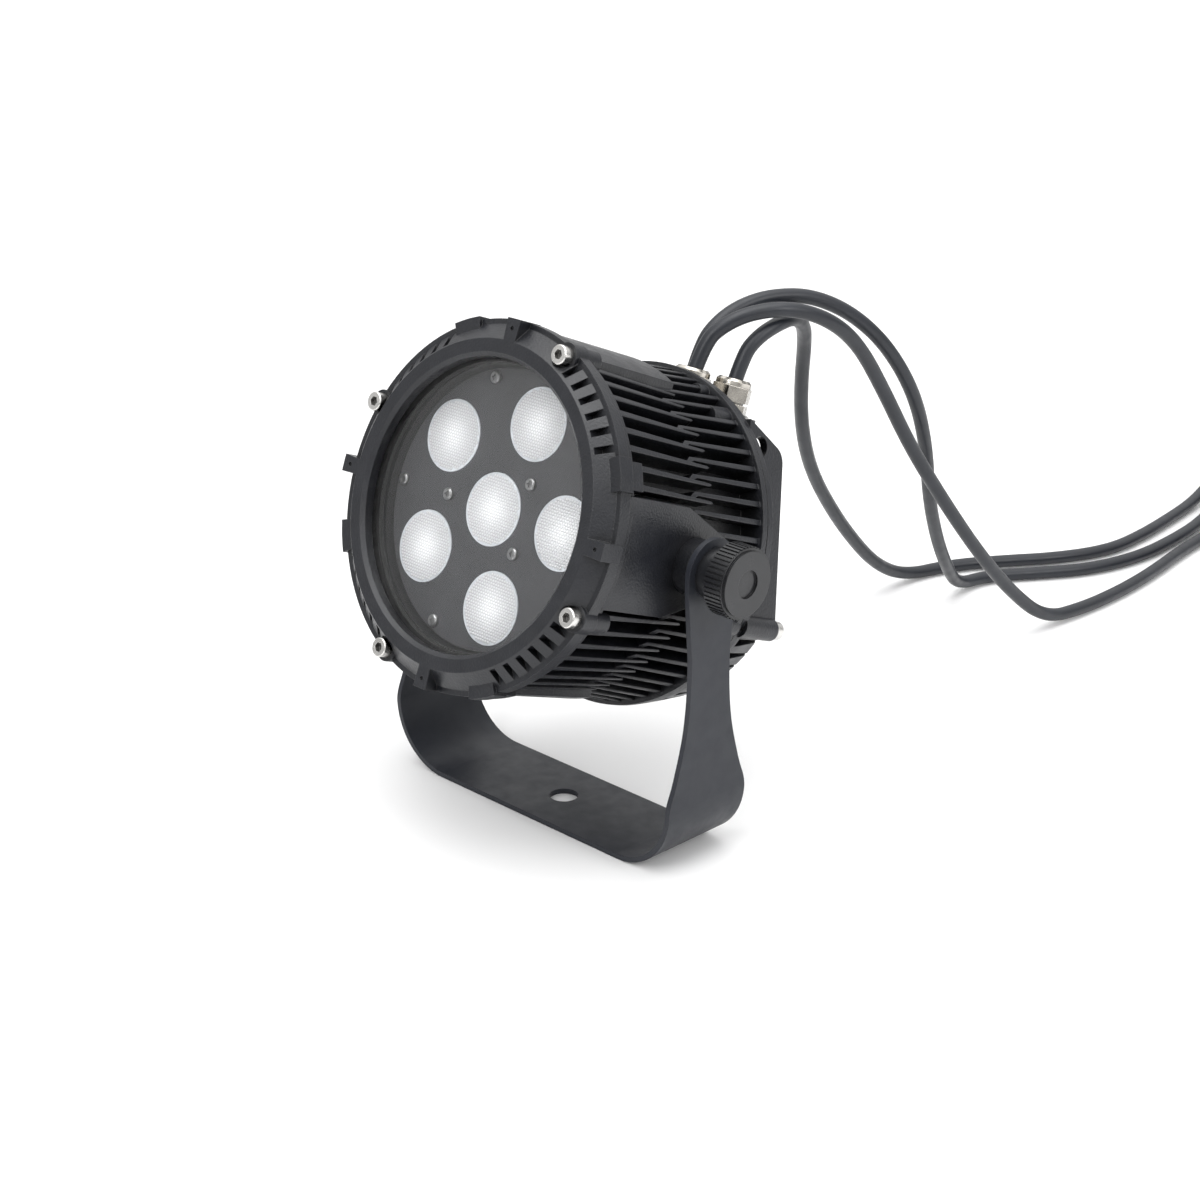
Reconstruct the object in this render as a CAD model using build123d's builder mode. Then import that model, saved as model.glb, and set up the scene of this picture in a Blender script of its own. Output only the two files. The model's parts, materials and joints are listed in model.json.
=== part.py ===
"""Outdoor LED par can: a finned die-cast lamp head tilting in a U-shaped yoke.

Units are millimetres. +Z is up, X is the tilt axis, and the lamp faces -Y.
The origin is the centre of the yoke's mounting hole, on the underside of its base.
"""

import os
from math import cos, pi, radians, sin, tan

from build123d import *

# ---------------------------------------------------------------- driving dimensions
TILT = 20.7                 # the lamp's front points this far above level, degrees
PIVOT_HEIGHT = 138.4        # tilt axis above the underside of the yoke

YOKE_WIDTH = 180.0          # outside to outside of the arms
YOKE_STRIP = 2.5            # thickness of the steel strip
YOKE_DEPTH = 49.2           # front to back of the base
YOKE_BEND = 31.8            # outside radius of the two bends
YOKE_HOLE_R = 6.75          # M12 clearance hole in the base
ARM_EYE_R = 15.0            # round top end of each arm

BEZEL_FRONT = 62.9          # places along the lamp's axis, forward of the tilt axis
BEZEL_SHOULDER = 56.4
BEZEL_REAR = 50.4
BEZEL_RIM_R = 72.2
BEZEL_LIP_R = 64.6
BEZEL_R = 81.8
BEZEL_SLOPE_R = 79.4        # foot of the sloping band round the rim
GLASS_FRONT = 57.0
GLASS_THICK = 4.0
GLASS_R = 67.7
BEZEL_BORE_R = 67.9
SLOT_FIRST = 31.35          # drain slots in the bezel, degrees from each tab
SLOT_HALF = 1.2
SLOT_INNER = 73.2

HOUSING_FRONT = 49.9
HOUSING_REAR = -45.0
FLANGE_R = 79.8
FLANGE_BACK = 46.0          # rear edge of the front flange
CORE_R = 68.0
BORE_R = 63.0
FIN_COUNT = 60
FIN_PITCH = 360 / FIN_COUNT
FRONT_FIN_END = -11.1
REAR_FIN_SHIFT = 2.2        # rear fins stand this far round from the front ones, degrees
PAD_X = 78.0                # flat side faces that carry the pivots
PAD_HALF = 24.2
BLOCK_HALF = 31.0           # crowned blocks on the top and the bottom of the housing
BLOCK_R = 80.0
BLOCK_END = -12.0

SCREW_ANGLE = 67.25         # bezel screws, four at right angles
SCREW_CIRCLE = 78.4
SCREW_SEAT = 58.3
SCREW_HEAD_R = 4.3
SCREW_R = 2.5
THREAD_R = 2.55

MASK_FRONT = 44.3
MASK_THICK = 1.5
MASK_R = 62.0
LENS_R = 16.2
LENS_CIRCLE = 43.1
BOARD_FRONT = 24.0
BOARD_THICK = 1.6
PAD_THICK = 0.4
WEB_FRONT = BOARD_FRONT - BOARD_THICK - PAD_THICK
WEB_BACK = 16.0

COVER_FRONT = -46.5
COVER_RIM_BACK = -50.0
COVER_R = 79.0
COVER_CORE_R = 61.0
COVER_BACK = -68.0
COVER_SKIRT_BACK = -72.0
COVER_BOSS_R = 4.6
DECK_TOP = 64.6
DECK_HALF = 35.0
WING_LEAN = 15.8            # the wing plates' outer faces lean this far back, degrees
WING_OUT = 64.6             # distance of those faces from the lamp's axis
WING_THICK = 4.0
WING_BACK = -74.0
SAFETY_HOLE = (38.5, -57.2)  # up the plate and along the lamp's axis
SAFETY_HOLE_R = 4.8

# Three glands in a triangle: distance to the side and place along the lamp's axis.
GLAND_PLACES = {"left": (-13.0, -74.0), "centre": (0.0, -59.0), "right": (13.0, -74.0)}
TOWER_BACK = -86.0          # rear of the hollow tower under the two rear glands
TOWER_HALF = 25.0
TOWER_HEIGHT = 30.0
GLAND_HEX = 17.0
GLAND_THREAD_R = 7.55
GLAND_NECK_R = 7.0
DRIVER_FRONT = -14.0
CABLE_R = 3.6

M3_R = 1.45
M3_THREAD_R = 1.5
PIVOT_R = 3.95              # M8 knob studs
PIVOT_THREAD_R = 4.0

KNOB_R = 16.05
ARM_FACE = YOKE_WIDTH / 2   # outer face of an arm

# ---------------------------------------------------------------- planes
SIN_T = sin(radians(TILT))
COS_T = cos(radians(TILT))
CENTRE = Vector(0, 0, PIVOT_HEIGHT)
FORWARD = Vector(0, -COS_T, SIN_T)
HEAD_UP = Vector(0, SIN_T, COS_T)
# Square to the lamp's axis: local x across, local y to the head's top, local z forward.
LAMP = Plane(origin=CENTRE, x_dir=(1, 0, 0), z_dir=FORWARD)
# Through the lamp's axis: local x is the radius, local y is forward.
SECTION = Plane(origin=CENTRE, x_dir=(1, 0, 0), z_dir=HEAD_UP * -1)
LAMP_AXIS = Axis(CENTRE, FORWARD)

os.makedirs("parts", exist_ok=True)


# ---------------------------------------------------------------- helpers
def save(builder, name):
    """Label a finished piece and write it."""
    builder.part.label = name
    export_step(builder.part, f"parts/{name}.step")


def polar(radius, angle):
    """A point at a radius and an angle in degrees."""
    return (radius * cos(radians(angle)), radius * sin(radians(angle)))


def gland_plane(place, height):
    """Plane square to a gland's axis, at a height above the lamp's axis."""
    across, along = place
    at = CENTRE + Vector(across, 0, 0) + FORWARD * along + HEAD_UP * height
    return Plane(origin=at, x_dir=(1, 0, 0), z_dir=HEAD_UP)


def disc(front, back, radius, bore=0.0, mode=Mode.ADD):
    """A disc or ring about the lamp's axis, between two places along it."""
    with BuildSketch(LAMP.offset(front)) as face:
        Circle(radius)
        if bore:
            Circle(bore, mode=Mode.SUBTRACT)
    extrude(face.sketch, amount=back - front, mode=mode)


def posts(front, back, radius, places, mode=Mode.ADD):
    """Round posts, or holes, parallel to the lamp's axis at the given places."""
    with BuildSketch(LAMP.offset(front)) as face:
        with Locations(*places):
            Circle(radius)
    extrude(face.sketch, amount=back - front, mode=mode)


def hexes(front, back, flats, places, mode=Mode.ADD):
    """Hexagonal posts or sockets parallel to the lamp's axis."""
    with BuildSketch(LAMP.offset(front)) as face:
        with Locations(*places):
            RegularPolygon(flats / 2, 6, major_radius=False)
    extrude(face.sketch, amount=back - front, mode=mode)


def block(front, back, width, height, places, mode=Mode.ADD):
    """Rectangular blocks square to the lamp's axis."""
    with BuildSketch(LAMP.offset(front)) as face:
        with Locations(*places):
            Rectangle(width, height)
    extrude(face.sketch, amount=back - front, mode=mode)


def turned(points, mode=Mode.ADD):
    """A body turned about the lamp's axis from an outline of (radius, forward) points."""
    with BuildSketch(SECTION) as outline:
        with BuildLine():
            Polyline(*points, close=True)
        make_face()
    revolve(outline.sketch, axis=LAMP_AXIS, mode=mode)


def sector(front, back, inner, outer, start, end, mode=Mode.ADD):
    """Part of a ring between two angles."""
    with BuildSketch(LAMP.offset(front)) as face:
        with BuildLine():
            Line(polar(inner, start), polar(outer, start))
            CenterArc((0, 0), outer, start, end - start)
            Line(polar(outer, end), polar(inner, end))
            CenterArc((0, 0), inner, start, end - start)
        make_face()
    extrude(face.sketch, amount=back - front, mode=mode)


QUADRANTS = [0, 90, 180, 270]
SCREW_PLACES = [polar(SCREW_CIRCLE, SCREW_ANGLE + turn) for turn in QUADRANTS]
LENS_PLACES = [(0, 0)] + [polar(LENS_CIRCLE, 72 * k) for k in range(5)]
MASK_SCREW_PLACES = [polar(24.1, 40), polar(28.4, 180), polar(24.1, -40)]
MASK_SCREW_PLACES += [polar(58.0, 36 + 72 * k) for k in range(5)]
BOARD_SCREW_PLACES = [polar(54.0, 72 * k) for k in range(5)]
LOW_COVER_SCREWS = [(72.4, -24.0), (-72.4, -24.0)]
HIGH_COVER_SCREWS = [polar(73.6, 57.5), polar(73.6, 122.5)]
COVER_SCREW_PLACES = LOW_COVER_SCREWS + HIGH_COVER_SCREWS
EJECTOR_PLACES = [polar(75.0, 71.6), polar(75.0, 108.4)]
DRIVER_POST_PLACES = [(x, y) for x in (39, -39) for y in (32, -32)]
SUPPLY_SCREW_PLACES = [(0, 32), (0, -32)]

# ---------------------------------------------------------------- housing
# One radial fin, pointing along +X with the lamp's axis along +Z. Its plan is drawn
# looking down on the crest: x is round the body, y is forward.
FIN_ROOT = CORE_R - 2
FIN_PLAN = Plane(origin=(FIN_ROOT, 0, 0), x_dir=(0, 1, 0), z_dir=(1, 0, 0))


def crest_cut(near, near_r, far, far_r):
    """Plane along a sloping fin crest, through (near_r, near) and (far_r, far)."""
    slope = Vector(far_r - near_r, 0, far - near)
    return Plane(origin=(near_r, 0, near), x_dir=(0, 1, 0), z_dir=slope.cross(Vector(0, 1, 0)))


with BuildPart() as front_fin:
    with BuildSketch(FIN_PLAN):
        with BuildLine():
            Polyline(
                (-1.5, FLANGE_BACK + 1),
                (-0.75, FRONT_FIN_END + 1.5),
                (0, FRONT_FIN_END),
                (0.75, FRONT_FIN_END + 1.5),
                (1.5, FLANGE_BACK + 1),
                close=True,
            )
        make_face()
    extrude(amount=FLANGE_R - FIN_ROOT)
    split(bisect_by=crest_cut(FLANGE_BACK + 1, 78.9, FRONT_FIN_END, 76.0), keep=Keep.BOTTOM)
    crest = front_fin.faces().sort_by(Axis.X)[-1]
    fillet(crest.edges().filter_by(lambda e: e.length > 20), 0.45)

with BuildPart() as rear_fin:
    shift = 77 * radians(REAR_FIN_SHIFT)
    with BuildSketch(FIN_PLAN):
        with BuildLine():
            Polyline(
                (-0.5, 3.0),
                (shift - 0.9, -1.5),
                (shift - 1.3, HOUSING_REAR + 2),
                (shift + 1.3, HOUSING_REAR + 2),
                (shift + 0.9, 0.5),
                (0.5, 4.0),
                close=True,
            )
        make_face()
    extrude(amount=FLANGE_R - FIN_ROOT)
    split(bisect_by=crest_cut(4.0, 75.2, HOUSING_REAR, 78.2), keep=Keep.BOTTOM)
    crest = rear_fin.faces().sort_by(Axis.X)[-1]
    fillet(crest.edges().filter_by(lambda e: e.length > 20), 0.45)

FIN_ANGLES = [FIN_PITCH * (k + 0.5) for k in range(FIN_COUNT)]


def clear_of(angle, middles, half):
    """True where a fin at this angle stands clear of the pads or blocks at the middles."""
    return all(abs((angle - middle + 180) % 360 - 180) > half for middle in middles)


front_angles = [a for a in FIN_ANGLES if clear_of(a, QUADRANTS[::2], 17) and clear_of(a, QUADRANTS[1::2], 24)]
rear_angles = [a for a in FIN_ANGLES if clear_of(a + REAR_FIN_SHIFT, QUADRANTS[::2], 6)]

with BuildPart() as crown:
    turned([
        (CORE_R - 3, FLANGE_BACK + 1), (BLOCK_R + 0.3, FLANGE_BACK + 1),
        (BLOCK_R - 1.3, BLOCK_END), (CORE_R - 3, BLOCK_END),
    ])
    block(FLANGE_BACK + 1, BLOCK_END, 2 * BLOCK_HALF, 4 * BLOCK_R, [(0, 0)], mode=Mode.INTERSECT)

with BuildPart() as housing:
    turned([
        (BORE_R, HOUSING_FRONT), (FLANGE_R, HOUSING_FRONT), (FLANGE_R, FLANGE_BACK),
        (CORE_R, FLANGE_BACK - 2), (CORE_R, HOUSING_REAR + 4), (FLANGE_R, HOUSING_REAR + 3),
        (FLANGE_R, HOUSING_REAR), (BORE_R, HOUSING_REAR),
    ])
    for fin, angles in ((front_fin, front_angles), (rear_fin, rear_angles)):
        with Locations(*[LAMP.location * Location((0, 0, 0), (0, 0, a)) for a in angles]):
            add(fin.part)
    # The solid web that carries the LED board and takes its heat.
    disc(WEB_FRONT, WEB_BACK, BORE_R + 0.5)
    # Flat side pads: full height at the front, tapering to the rear.
    for side in (1, -1):
        pad_root = CENTRE + Vector(side * (CORE_R - 4), 0, 0)
        with BuildSketch(Plane(origin=pad_root, x_dir=FORWARD, z_dir=(side, 0, 0))) as pad:
            with BuildLine():
                Polyline(
                    (HOUSING_FRONT, -PAD_HALF), (HOUSING_FRONT, PAD_HALF), (11.6, PAD_HALF),
                    (-21.0, 12.4), (-21.0, -12.4), (11.6, -PAD_HALF), close=True,
                )
            make_face()
        extrude(pad.sketch, amount=PAD_X - CORE_R + 4)
    add(crown.part)
    # Lugs on the front flange, one for each raised corner of the bezel.
    for turn in QUADRANTS:
        sector(HOUSING_FRONT, FLANGE_BACK - 3, CORE_R, 82.2, turn + 19, turn + 27.5)
    # Bosses for the bezel screws and for the rear cover screws.
    posts(HOUSING_FRONT, 41.5, 5.2, SCREW_PLACES)
    posts(-30.0, HOUSING_REAR, COVER_BOSS_R, COVER_SCREW_PLACES)
    posts(-36.0, HOUSING_REAR, 3.6, EJECTOR_PLACES)
    disc(HOUSING_FRONT, WEB_FRONT, BORE_R, mode=Mode.SUBTRACT)
    disc(WEB_BACK, HOUSING_REAR, BORE_R, mode=Mode.SUBTRACT)
    posts(HOUSING_FRONT, 41.5, THREAD_R, SCREW_PLACES, mode=Mode.SUBTRACT)
    posts(-32.0, HOUSING_REAR, THREAD_R, COVER_SCREW_PLACES, mode=Mode.SUBTRACT)
    # Tapped holes in the web, and the blind pivot holes in the pads.
    posts(WEB_FRONT, WEB_BACK, M3_THREAD_R, MASK_SCREW_PLACES + BOARD_SCREW_PLACES, mode=Mode.SUBTRACT)
    posts(WEB_FRONT, WEB_BACK, M3_THREAD_R, DRIVER_POST_PLACES + SUPPLY_SCREW_PLACES, mode=Mode.SUBTRACT)
    for side in (1, -1):
        with BuildSketch(Plane(origin=CENTRE + Vector(side * PAD_X, 0, 0), z_dir=(side, 0, 0))) as bore:
            Circle(PIVOT_THREAD_R)
        extrude(bore.sketch, amount=-8.5, mode=Mode.SUBTRACT)
save(housing, "housing")

# ---------------------------------------------------------------- front bezel and glass
with BuildPart() as front_bezel:
    turned([
        (BEZEL_BORE_R, BEZEL_REAR), (BEZEL_BORE_R, GLASS_FRONT), (BEZEL_LIP_R, GLASS_FRONT),
        (BEZEL_LIP_R, BEZEL_FRONT - 1.6), (BEZEL_LIP_R + 1.8, BEZEL_FRONT), (BEZEL_RIM_R, BEZEL_FRONT),
        (BEZEL_SLOPE_R, BEZEL_SHOULDER), (BEZEL_R, BEZEL_SHOULDER), (BEZEL_R, BEZEL_REAR),
    ])
    for turn in QUADRANTS:
        # Square tab at each quarter, with a gusset beside it.
        sector(BEZEL_FRONT, BEZEL_REAR, BEZEL_RIM_R - 2, 82.0, turn - 2.75, turn + 2.75)
        # Raised corner that stands out beyond the flange.
        sector(58.2, BEZEL_REAR, BEZEL_RIM_R + 2, 83.1, turn + 18, turn + 28.3)
        # Six drain slots, cut down to the shoulder.
        for k in range(6):
            middle = turn + SLOT_FIRST + FIN_PITCH * k
            sector(
                BEZEL_FRONT + 1, BEZEL_SHOULDER, SLOT_INNER, 84.0,
                middle - SLOT_HALF, middle + SLOT_HALF, mode=Mode.SUBTRACT,
            )
    # Each screw sits in a pocket with a rounded wall outside it.
    posts(SCREW_SEAT, BEZEL_REAR, 6.0, SCREW_PLACES)
    posts(BEZEL_FRONT + 1, SCREW_SEAT, 5.2, SCREW_PLACES, mode=Mode.SUBTRACT)
    posts(BEZEL_FRONT, BEZEL_REAR, SCREW_R + 0.25, SCREW_PLACES, mode=Mode.SUBTRACT)
    # A small dimple in the face of each tab.
    posts(BEZEL_FRONT, BEZEL_FRONT - 0.8, 1.0, [polar(77.6, turn) for turn in QUADRANTS], mode=Mode.SUBTRACT)
save(front_bezel, "front_bezel")

with BuildPart() as front_glass:
    disc(GLASS_FRONT, GLASS_FRONT - GLASS_THICK, GLASS_R)
    chamfer(front_glass.edges(), 0.4)
save(front_glass, "front_glass")

with BuildPart() as glass_gasket:
    disc(GLASS_FRONT - GLASS_THICK, HOUSING_FRONT, GLASS_R - 0.2, BORE_R + 0.5)
save(glass_gasket, "glass_gasket")

with BuildPart() as body_gasket:
    disc(BEZEL_REAR, HOUSING_FRONT, 72.0, 69.0)
save(body_gasket, "body_gasket")

with BuildPart() as bezel_screws:
    posts(SCREW_SEAT + 5, SCREW_SEAT, SCREW_HEAD_R, SCREW_PLACES)
    chamfer(bezel_screws.faces().sort_by(LAMP_AXIS)[-4:].edges(), 0.4)
    posts(SCREW_SEAT, 42.3, SCREW_R, SCREW_PLACES)
    hexes(SCREW_SEAT + 5, SCREW_SEAT + 2.4, 4.0, SCREW_PLACES, mode=Mode.SUBTRACT)
save(bezel_screws, "bezel_screws")

# ---------------------------------------------------------------- optics
HOLDER_FRONT = MASK_FRONT - MASK_THICK
HOLDER_BACK = HOLDER_FRONT - 2.0

with BuildPart() as mask_plate:
    disc(MASK_FRONT, HOLDER_FRONT, MASK_R)
    posts(MASK_FRONT, HOLDER_FRONT, LENS_R + 0.2, LENS_PLACES, mode=Mode.SUBTRACT)
    posts(MASK_FRONT, HOLDER_FRONT, 1.6, MASK_SCREW_PLACES, mode=Mode.SUBTRACT)
save(mask_plate, "mask_plate")

with BuildPart() as lens_holder:
    disc(HOLDER_FRONT, HOLDER_BACK, MASK_R)
    posts(HOLDER_FRONT, HOLDER_BACK, 15.0, LENS_PLACES, mode=Mode.SUBTRACT)
    posts(HOLDER_FRONT, HOLDER_BACK, 1.6, MASK_SCREW_PLACES, mode=Mode.SUBTRACT)
save(lens_holder, "lens_holder")

EMITTER_FRONT = BOARD_FRONT + 1.4
for number, (x, y) in enumerate(LENS_PLACES, start=1):
    lens_axis_at = CENTRE + Vector(x, 0, 0) + HEAD_UP * y
    with BuildPart() as lens:
        with BuildSketch(Plane(origin=lens_axis_at, x_dir=(1, 0, 0), z_dir=HEAD_UP * -1)) as outline:
            with BuildLine():
                lip = Polyline(
                    (0, MASK_FRONT + 0.3), (LENS_R, MASK_FRONT + 0.3), (LENS_R, HOLDER_FRONT),
                    (14.6, HOLDER_FRONT),
                )
                Spline(lip @ 1, (10.8, 34.5), (5.6, BOARD_FRONT + 2.2))
                Polyline(
                    (5.6, BOARD_FRONT + 2.2), (3.8, BOARD_FRONT + 2.2), (3.2, BOARD_FRONT + 8.0),
                    (0, BOARD_FRONT + 8.6),
                )
                Line((0, BOARD_FRONT + 8.6), (0, MASK_FRONT + 0.3))
            make_face()
        revolve(outline.sketch, axis=Axis(lens_axis_at, FORWARD))
    save(lens, f"lens_{number}")

with BuildPart() as led_board:
    disc(BOARD_FRONT, BOARD_FRONT - BOARD_THICK, 60.0)
    posts(BOARD_FRONT, WEB_FRONT, 1.6, MASK_SCREW_PLACES + BOARD_SCREW_PLACES, mode=Mode.SUBTRACT)
save(led_board, "led_board")

with BuildPart() as thermal_pad:
    disc(WEB_FRONT + PAD_THICK, WEB_FRONT, 60.0)
    posts(BOARD_FRONT, WEB_FRONT, 1.6, MASK_SCREW_PLACES + BOARD_SCREW_PLACES, mode=Mode.SUBTRACT)
save(thermal_pad, "thermal_pad")

with BuildPart() as led_emitters:
    block(BOARD_FRONT + 0.8, BOARD_FRONT, 6.5, 6.5, LENS_PLACES)
    posts(EMITTER_FRONT, BOARD_FRONT + 0.8, 2.6, LENS_PLACES)
save(led_emitters, "led_emitters")

with BuildPart() as mask_standoffs:
    hexes(HOLDER_BACK, BOARD_FRONT, 5.5, MASK_SCREW_PLACES)
    posts(BOARD_FRONT, WEB_FRONT - 4, M3_R, MASK_SCREW_PLACES)
    posts(HOLDER_BACK, HOLDER_BACK - 7, M3_THREAD_R, MASK_SCREW_PLACES, mode=Mode.SUBTRACT)
save(mask_standoffs, "mask_standoffs")


def cross_head_screws(seat, tip, places):
    """M3 pan-head screws whose heads stand forward of the seat."""
    posts(seat + 1.9, seat, 2.75, places)
    chamfer(edges().filter_by(GeomType.CIRCLE).group_by(LAMP_AXIS)[-1], 0.6)
    posts(seat, tip, M3_R, places)
    block(seat + 2, seat + 0.7, 2.6, 0.7, places, mode=Mode.SUBTRACT)
    block(seat + 2, seat + 0.7, 0.7, 2.6, places, mode=Mode.SUBTRACT)


with BuildPart() as mask_screws:
    cross_head_screws(MASK_FRONT, HOLDER_BACK - 6, MASK_SCREW_PLACES)
save(mask_screws, "mask_screws")

with BuildPart() as board_screws:
    cross_head_screws(BOARD_FRONT, WEB_FRONT - 4.5, BOARD_SCREW_PLACES)
save(board_screws, "board_screws")

# ---------------------------------------------------------------- rear cover
with BuildPart() as rear_gasket:
    disc(HOUSING_REAR, COVER_FRONT, 68.6, BORE_R + 0.4)
save(rear_gasket, "rear_gasket")

with BuildPart() as pocket:
    # Wedge between two skirt fins: open at the rim, closing towards the rear.
    with BuildSketch(Plane(origin=(COVER_CORE_R + 4, 0, 0), x_dir=(0, 1, 0), z_dir=(1, 0, 0))):
        with BuildLine():
            Polyline(
                (-2.2, COVER_RIM_BACK - 2), (2.2, COVER_RIM_BACK - 2),
                (0.3, WING_BACK), (-0.3, WING_BACK), close=True,
            )
        make_face()
    extrude(amount=COVER_R)

with BuildPart() as skirt:
    turned([
        (COVER_CORE_R - 2, COVER_RIM_BACK + 1), (COVER_R, COVER_RIM_BACK + 1),
        (COVER_R - 1, COVER_RIM_BACK - 6),
        (75.5, COVER_SKIRT_BACK + 3), (72.5, COVER_SKIRT_BACK), (COVER_CORE_R - 2, COVER_SKIRT_BACK),
    ])
    sector(COVER_RIM_BACK + 1, COVER_SKIRT_BACK, 20, 90, -161, -19, mode=Mode.INTERSECT)

WING_NORMAL = Vector(cos(radians(WING_LEAN)), 0, 0) + HEAD_UP * sin(radians(WING_LEAN))
WING_RISE = Vector(-sin(radians(WING_LEAN)), 0, 0) + HEAD_UP * cos(radians(WING_LEAN))
# Local x climbs the plate, local y is forward, local z is outward.
WING = Plane(origin=CENTRE + WING_NORMAL * WING_OUT, x_dir=WING_RISE, z_dir=WING_NORMAL)

with BuildPart() as rear_cover:
    turned([
        (COVER_CORE_R - 3, COVER_FRONT), (COVER_R, COVER_FRONT), (COVER_R, COVER_RIM_BACK),
        (COVER_CORE_R, COVER_RIM_BACK), (COVER_CORE_R, COVER_BACK + 3), (COVER_CORE_R - 3, COVER_BACK),
        (0, COVER_BACK), (0, COVER_BACK + 3), (COVER_CORE_R - 3, COVER_BACK + 3),
    ])
    # Deck for the glands, hollow underneath.
    block(COVER_FRONT - 2, COVER_BACK, 2 * DECK_HALF, 34.6, [(0, DECK_TOP - 17.3)])
    block(COVER_FRONT, COVER_BACK + 3, 2 * DECK_HALF - 8, 40, [(0, DECK_TOP - 6.5 - 20)], mode=Mode.SUBTRACT)
    # Tower behind the deck, for the two rear glands.
    block(COVER_BACK + 3, TOWER_BACK, 2 * TOWER_HALF, TOWER_HEIGHT, [(0, DECK_TOP - TOWER_HEIGHT / 2)])
    fillet(rear_cover.edges().filter_by(Axis(CENTRE, HEAD_UP)).group_by(LAMP_AXIS)[0], 6)
    # Finned skirt round the lower half.
    add(skirt.part)
    with Locations(*[LAMP.location * Location((0, 0, 0), (0, 0, -FIN_PITCH * k)) for k in range(4, 27)]):
        add(pocket.part, mode=Mode.SUBTRACT)
    posts(COVER_RIM_BACK + 1, COVER_SKIRT_BACK, 5.2, LOW_COVER_SCREWS)
    # Wing plates either side, each with a hole for a safety cable.
    with BuildSketch(WING) as wing:
        with BuildLine():
            edge = FilletPolyline((50.0, COVER_RIM_BACK + 1), (37.5, WING_BACK), (-40.0, WING_BACK), radius=8)
            Polyline(edge @ 1, (-45.6, COVER_RIM_BACK + 1), edge @ 0)
        make_face()
        with Locations(SAFETY_HOLE):
            Circle(SAFETY_HOLE_R, mode=Mode.SUBTRACT)
    extrude(wing.sketch, amount=-WING_THICK)
    with BuildSketch(WING) as bridge:
        with Locations((-4, (COVER_RIM_BACK + COVER_BACK) / 2)):
            Rectangle(44, COVER_RIM_BACK - COVER_BACK)
    extrude(bridge.sketch, amount=-2 * WING_THICK)
    mirror(about=Plane.YZ)
    disc(COVER_FRONT, COVER_BACK + 3, COVER_CORE_R - 3, mode=Mode.SUBTRACT)
    posts(COVER_FRONT, WING_BACK, SCREW_R + 0.25, COVER_SCREW_PLACES, mode=Mode.SUBTRACT)
    posts(COVER_SKIRT_BACK, WING_BACK, SCREW_HEAD_R + 0.3, LOW_COVER_SCREWS, mode=Mode.SUBTRACT)
    posts(COVER_BACK + 3, COVER_BACK, 6.1, [(0, -20)], mode=Mode.SUBTRACT)
    # The tower's hollow opens into the cover.
    hollow_height = TOWER_HEIGHT - 6.5 - 3
    block(
        COVER_BACK + 4, TOWER_BACK + 3, 2 * TOWER_HALF - 6, hollow_height,
        [(0, DECK_TOP - 6.5 - hollow_height / 2)], mode=Mode.SUBTRACT,
    )
    # Tapped holes for the glands.
    for place in GLAND_PLACES.values():
        with BuildSketch(gland_plane(place, DECK_TOP)) as gland_hole:
            Circle(GLAND_THREAD_R + 0.05)
        extrude(gland_hole.sketch, amount=-6.5, mode=Mode.SUBTRACT)
save(rear_cover, "rear_cover")

with BuildPart() as rear_cover_screws:
    for seat, places in ((COVER_SKIRT_BACK, LOW_COVER_SCREWS), (COVER_RIM_BACK, HIGH_COVER_SCREWS)):
        posts(seat, seat - 5, SCREW_HEAD_R, places)
        posts(seat, HOUSING_REAR + 10, SCREW_R, places)
        hexes(seat - 5, seat - 2.4, 4.0, places, mode=Mode.SUBTRACT)
save(rear_cover_screws, "rear_cover_screws")

with BuildPart() as vent_valve:
    posts(COVER_BACK + 3, COVER_BACK, 6.0, [(0, -20)])
    hexes(COVER_BACK, COVER_BACK - 4, 16.0, [(0, -20)])
    posts(COVER_BACK - 4, COVER_BACK - 6.5, 7.2, [(0, -20)])
    chamfer(vent_valve.faces().sort_by(LAMP_AXIS)[0].edges(), 0.8)
save(vent_valve, "vent_valve")

# ---------------------------------------------------------------- electronics
with BuildPart() as power_supply:
    block(WEB_BACK, -8.0, 66, 52, [(0, 0)])
    fillet(power_supply.edges().filter_by(lambda e: abs(e.length - 24) < 0.1), 3)
    block(WEB_BACK, WEB_BACK - 2, 16, 74, [(0, 0)])
    posts(WEB_BACK, WEB_BACK - 2, 1.6, SUPPLY_SCREW_PLACES, mode=Mode.SUBTRACT)
save(power_supply, "power_supply")

with BuildPart() as driver_standoffs:
    hexes(WEB_BACK, DRIVER_FRONT, 5.5, DRIVER_POST_PLACES)
    posts(WEB_BACK, WEB_BACK + 5, M3_R, DRIVER_POST_PLACES)
    posts(DRIVER_FRONT, DRIVER_FRONT + 7, M3_THREAD_R, DRIVER_POST_PLACES, mode=Mode.SUBTRACT)
save(driver_standoffs, "driver_standoffs")

with BuildPart() as driver_board:
    block(DRIVER_FRONT, DRIVER_FRONT - BOARD_THICK, 88, 74, [(0, 0)])
    posts(DRIVER_FRONT, DRIVER_FRONT - BOARD_THICK, 1.6, DRIVER_POST_PLACES, mode=Mode.SUBTRACT)
save(driver_board, "driver_board")

DRIVER_BACK = DRIVER_FRONT - BOARD_THICK
with BuildPart() as driver_components:
    posts(DRIVER_BACK, DRIVER_BACK - 16, 5.0, [(-24, 14), (-24, 0), (-24, -14)])
    posts(DRIVER_BACK, DRIVER_BACK - 9, 6.5, [(x, -22) for x in (-6, 9, 24)])
    block(DRIVER_BACK, DRIVER_BACK - 5, 12, 10, [(x, 2) for x in (-4, 12)])
    block(DRIVER_BACK, DRIVER_BACK - 2, 9, 7, [(28, y) for y in (-6, 6)])
save(driver_components, "driver_components")

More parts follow.
